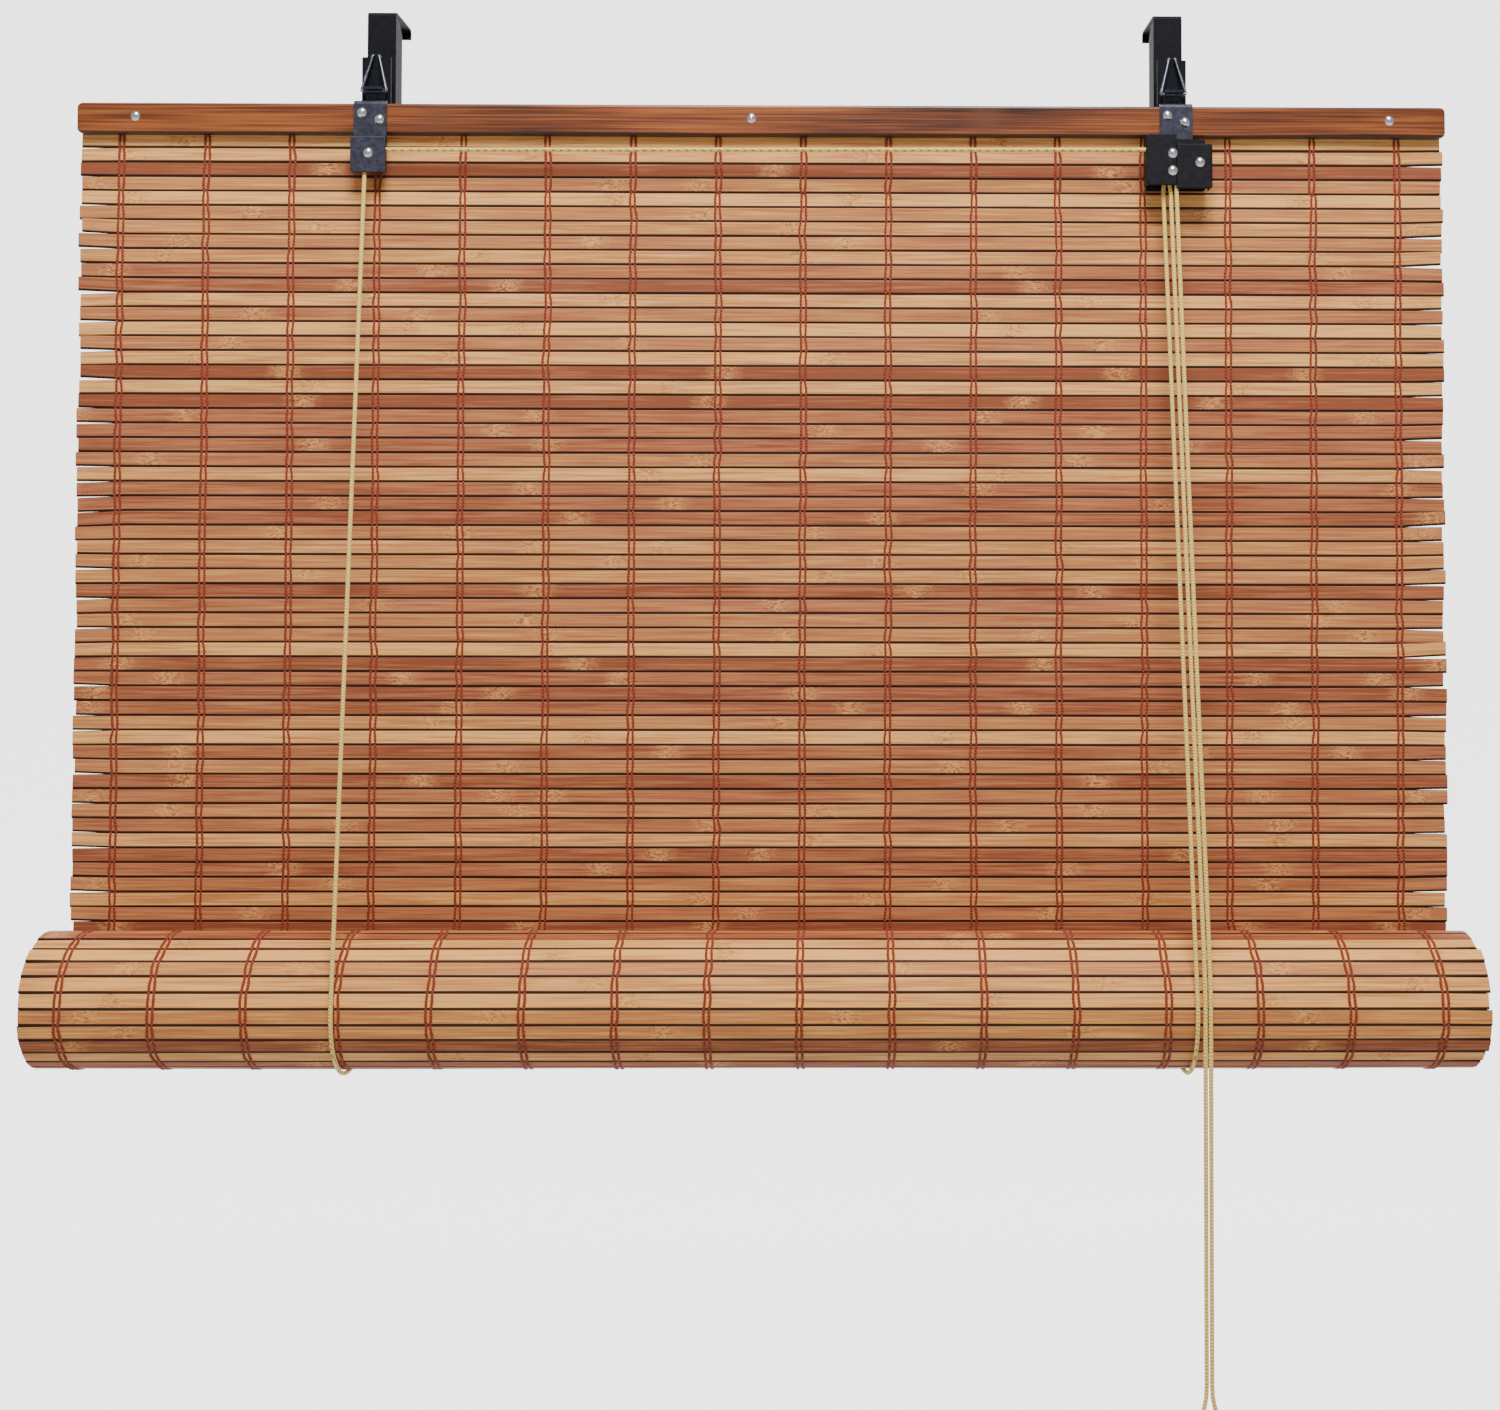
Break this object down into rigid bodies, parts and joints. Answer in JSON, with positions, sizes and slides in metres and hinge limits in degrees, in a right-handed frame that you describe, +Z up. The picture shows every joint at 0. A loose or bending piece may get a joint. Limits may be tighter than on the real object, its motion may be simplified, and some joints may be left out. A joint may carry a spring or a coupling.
{
  "type": "bamboo roll up blind",
  "caption": "Roll-up window blind of stitched bamboo slats, partly rolled on lift cords, with a cord lock and steel clips that hook over a window frame.",
  "frame": {"origin": "on the window frame's top edge, at its room face, half way along the blind", "axes": "+X along the blind to the right as seen from the room, +Y away from the room into the frame, +Z up"},
  "size_m": [0.8, 0.1448, 0.8766],
  "materials": {
    "hanging_bamboo": "split and planed bamboo slats, lightly varnished, brown and tan mixed",
    "rolled_bamboo": "split bamboo slats, paler on the roll, lightly varnished",
    "head_lath_wood": "reddish brown stained bamboo lath, satin",
    "bottom_lath_wood": "stained bamboo lath, satin",
    "warp_thread": "twisted rust brown cotton thread",
    "cord_yarn": "twisted pale yellow cotton cord",
    "clip_steel": "near black zinc plated sheet steel",
    "wire_steel": "dark plated wire",
    "strap_steel": "mottled slate grey passivated sheet steel",
    "lock_steel": "near black oiled sheet steel",
    "rivet_steel": "bright plated domed rivets",
    "cam_brass": "plain cast brass",
    "pull_wood": "turned and varnished wood"
  },
  "bodies": {
    "hangers": {"left_frame_clip": "clip_steel", "right_frame_clip": "clip_steel", "left_wire_hanger": "wire_steel", "right_wire_hanger": "wire_steel"},
    "blind_head": {"left_strap_bracket": "strap_steel", "right_strap_bracket": "strap_steel", "front_lath": "head_lath_wood", "back_lath": "head_lath_wood", "head_nails": "rivet_steel", "strap_rivets": "rivet_steel", "left_pulley_cover": "strap_steel", "left_pin_rivet": "rivet_steel", "lock_back_plate": "lock_steel", "lock_left_cover": "lock_steel", "lock_right_cover": "lock_steel", "lock_pin_rivets": "rivet_steel", "cam_pin_rivet": "rivet_steel", "head_mat": "hanging_bamboo", "hanging_mat": "hanging_bamboo", "head_warps": "warp_thread", "hanging_warps": "warp_thread", "cross_cord": "cord_yarn", "lock_turn_cord": "cord_yarn", "left_back_cord": "cord_yarn", "right_back_cord": "cord_yarn", "left_front_cord": "cord_yarn", "right_front_cord": "cord_yarn", "left_pull_drape": "cord_yarn", "right_pull_drape": "cord_yarn"},
    "lock_cam": {"lock_cam": "cam_brass"},
    "roll_carriage": {"left_sling": "cord_yarn", "right_sling": "cord_yarn", "left_pull_cord": "cord_yarn", "right_pull_cord": "cord_yarn", "cord_coil": "cord_yarn", "coil_tie": "cord_yarn", "cord_tails": "cord_yarn", "cord_pull": "pull_wood"},
    "mat_roll": {"rolled_mat": "rolled_bamboo", "roll_warps": "warp_thread", "bottom_lath": "bottom_lath_wood"}
  },
  "joints": [
    {"name": "blind_swing", "type": "hinge", "parent": "hangers", "child": "blind_head", "pos_m": [0, -0.0334, -0.0505], "axis": [-1, 0, 0], "range_deg": [0, 35]},
    {"name": "lock_cam_turn", "type": "hinge", "parent": "blind_head", "child": "lock_cam", "pos_m": [0.2533, -0.0467, -0.0945], "axis": [0, -1, 0], "range_deg": [0, 25]},
    {"name": "roll_lift", "type": "slide", "parent": "blind_head", "child": "roll_carriage", "axis": [0, 0, 1], "range_m": [0, 0.4], "deforming": ["hanging_mat", "hanging_warps", "left_back_cord", "right_back_cord", "left_front_cord", "right_front_cord", "left_pull_drape", "right_pull_drape"]},
    {"name": "roll_turn", "type": "hinge", "parent": "roll_carriage", "child": "mat_roll", "pos_m": [0, -0.0711, -0.5693], "axis": [-1, 0, 0], "range_deg": [0, 620]}
  ],
  "couplings": [
    {"joint": "roll_turn", "follows": "roll_lift", "rad_per_m": 25.974}
  ]
}
